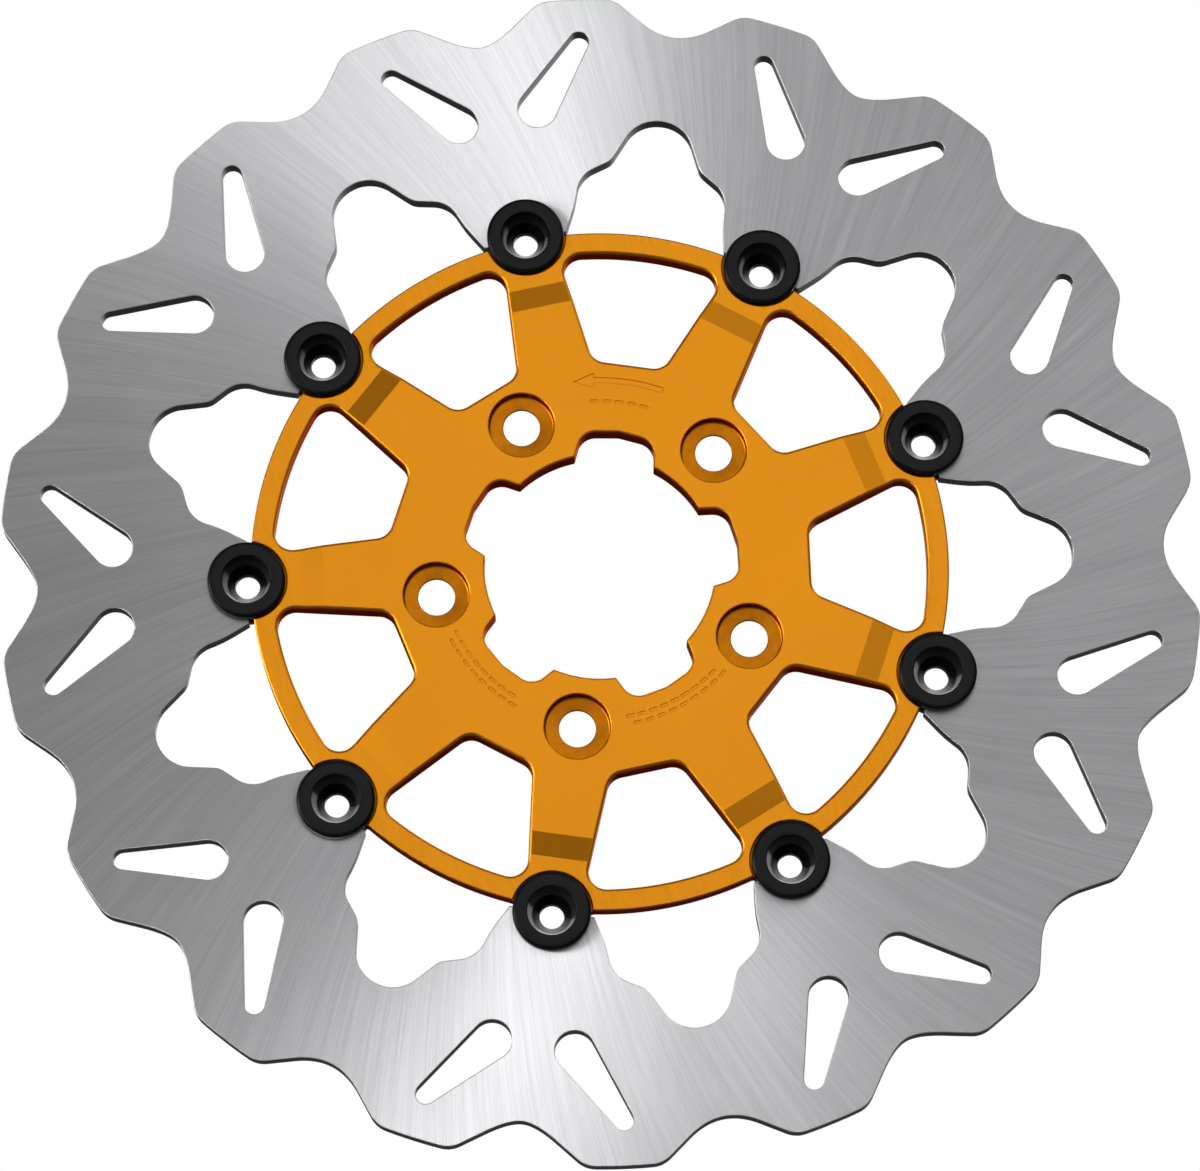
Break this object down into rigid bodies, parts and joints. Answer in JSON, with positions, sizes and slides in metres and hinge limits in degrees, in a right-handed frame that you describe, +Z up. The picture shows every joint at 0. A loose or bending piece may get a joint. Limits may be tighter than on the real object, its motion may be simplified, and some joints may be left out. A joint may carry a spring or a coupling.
{
  "type": "motorcycle brake disc",
  "caption": "Floating brake disc: a wave-edged steel blade held by drive bobbins on a spoked gold carrier that bolts to a wheel hub.",
  "frame": {"origin": "on the disc's axis, in the plane of the carrier's back face, which bolts against the wheel hub", "axes": "disc upright: +Y along the disc's axis, pointing from the front face back towards the wheel hub; +Z up; +X to the right seen from the front; one bobbin and one hub bolt hole lie straight down"},
  "size_m": [0.3, 0.0115, 0.2976],
  "materials": {
    "blade_steel": "ground",
    "gold_anodise": "satin gold anodised",
    "black_anodise": "black anodised, glossy",
    "washer_steel": "zinc plated",
    "spring_steel": "tempered",
    "clip_steel": "phosphated"
  },
  "bodies": {
    "carrier": {"carrier": "gold_anodise"},
    "blade": {"brake_blade": "blade_steel"},
    "bobbin_1": {"drive_bobbin_1": "black_anodise", "flat_washer_1": "washer_steel", "wave_washer_1": "spring_steel", "retaining_clip_1": "clip_steel"},
    "bobbin_2": {"drive_bobbin_2": "black_anodise", "flat_washer_2": "washer_steel", "wave_washer_2": "spring_steel", "retaining_clip_2": "clip_steel"},
    "bobbin_3": {"drive_bobbin_3": "black_anodise", "flat_washer_3": "washer_steel", "wave_washer_3": "spring_steel", "retaining_clip_3": "clip_steel"},
    "bobbin_4": {"drive_bobbin_4": "black_anodise", "flat_washer_4": "washer_steel", "wave_washer_4": "spring_steel", "retaining_clip_4": "clip_steel"},
    "bobbin_5": {"drive_bobbin_5": "black_anodise", "flat_washer_5": "washer_steel", "wave_washer_5": "spring_steel", "retaining_clip_5": "clip_steel"},
    "bobbin_6": {"drive_bobbin_6": "black_anodise", "flat_washer_6": "washer_steel", "wave_washer_6": "spring_steel", "retaining_clip_6": "clip_steel"},
    "bobbin_7": {"drive_bobbin_7": "black_anodise", "flat_washer_7": "washer_steel", "wave_washer_7": "spring_steel", "retaining_clip_7": "clip_steel"},
    "bobbin_8": {"drive_bobbin_8": "black_anodise", "flat_washer_8": "washer_steel", "wave_washer_8": "spring_steel", "retaining_clip_8": "clip_steel"},
    "bobbin_9": {"drive_bobbin_9": "black_anodise", "flat_washer_9": "washer_steel", "wave_washer_9": "spring_steel", "retaining_clip_9": "clip_steel"}
  },
  "joints": [
    {"name": "blade_float", "type": "slide", "parent": "carrier", "child": "blade", "axis": [0, 1, 0], "range_m": [-0.0002, 0.0002], "stiffness_N_per_m": 20000},
    {"name": "bobbin_1_turn", "type": "hinge", "parent": "carrier", "child": "bobbin_1", "pos_m": [0, 0, -0.088], "axis": [0, 1, 0], "continuous": true},
    {"name": "bobbin_2_turn", "type": "hinge", "parent": "carrier", "child": "bobbin_2", "pos_m": [0.05656, 0, -0.06741], "axis": [0, 1, 0], "continuous": true},
    {"name": "bobbin_3_turn", "type": "hinge", "parent": "carrier", "child": "bobbin_3", "pos_m": [0.08666, 0, -0.01528], "axis": [0, 1, 0], "continuous": true},
    {"name": "bobbin_4_turn", "type": "hinge", "parent": "carrier", "child": "bobbin_4", "pos_m": [0.07621, 0, 0.044], "axis": [0, 1, 0], "continuous": true},
    {"name": "bobbin_5_turn", "type": "hinge", "parent": "carrier", "child": "bobbin_5", "pos_m": [0.0301, 0, 0.08269], "axis": [0, 1, 0], "continuous": true},
    {"name": "bobbin_6_turn", "type": "hinge", "parent": "carrier", "child": "bobbin_6", "pos_m": [-0.0301, 0, 0.08269], "axis": [0, 1, 0], "continuous": true},
    {"name": "bobbin_7_turn", "type": "hinge", "parent": "carrier", "child": "bobbin_7", "pos_m": [-0.07621, 0, 0.044], "axis": [0, 1, 0], "continuous": true},
    {"name": "bobbin_8_turn", "type": "hinge", "parent": "carrier", "child": "bobbin_8", "pos_m": [-0.08666, 0, -0.01528], "axis": [0, 1, 0], "continuous": true},
    {"name": "bobbin_9_turn", "type": "hinge", "parent": "carrier", "child": "bobbin_9", "pos_m": [-0.05656, 0, -0.06741], "axis": [0, 1, 0], "continuous": true}
  ]
}
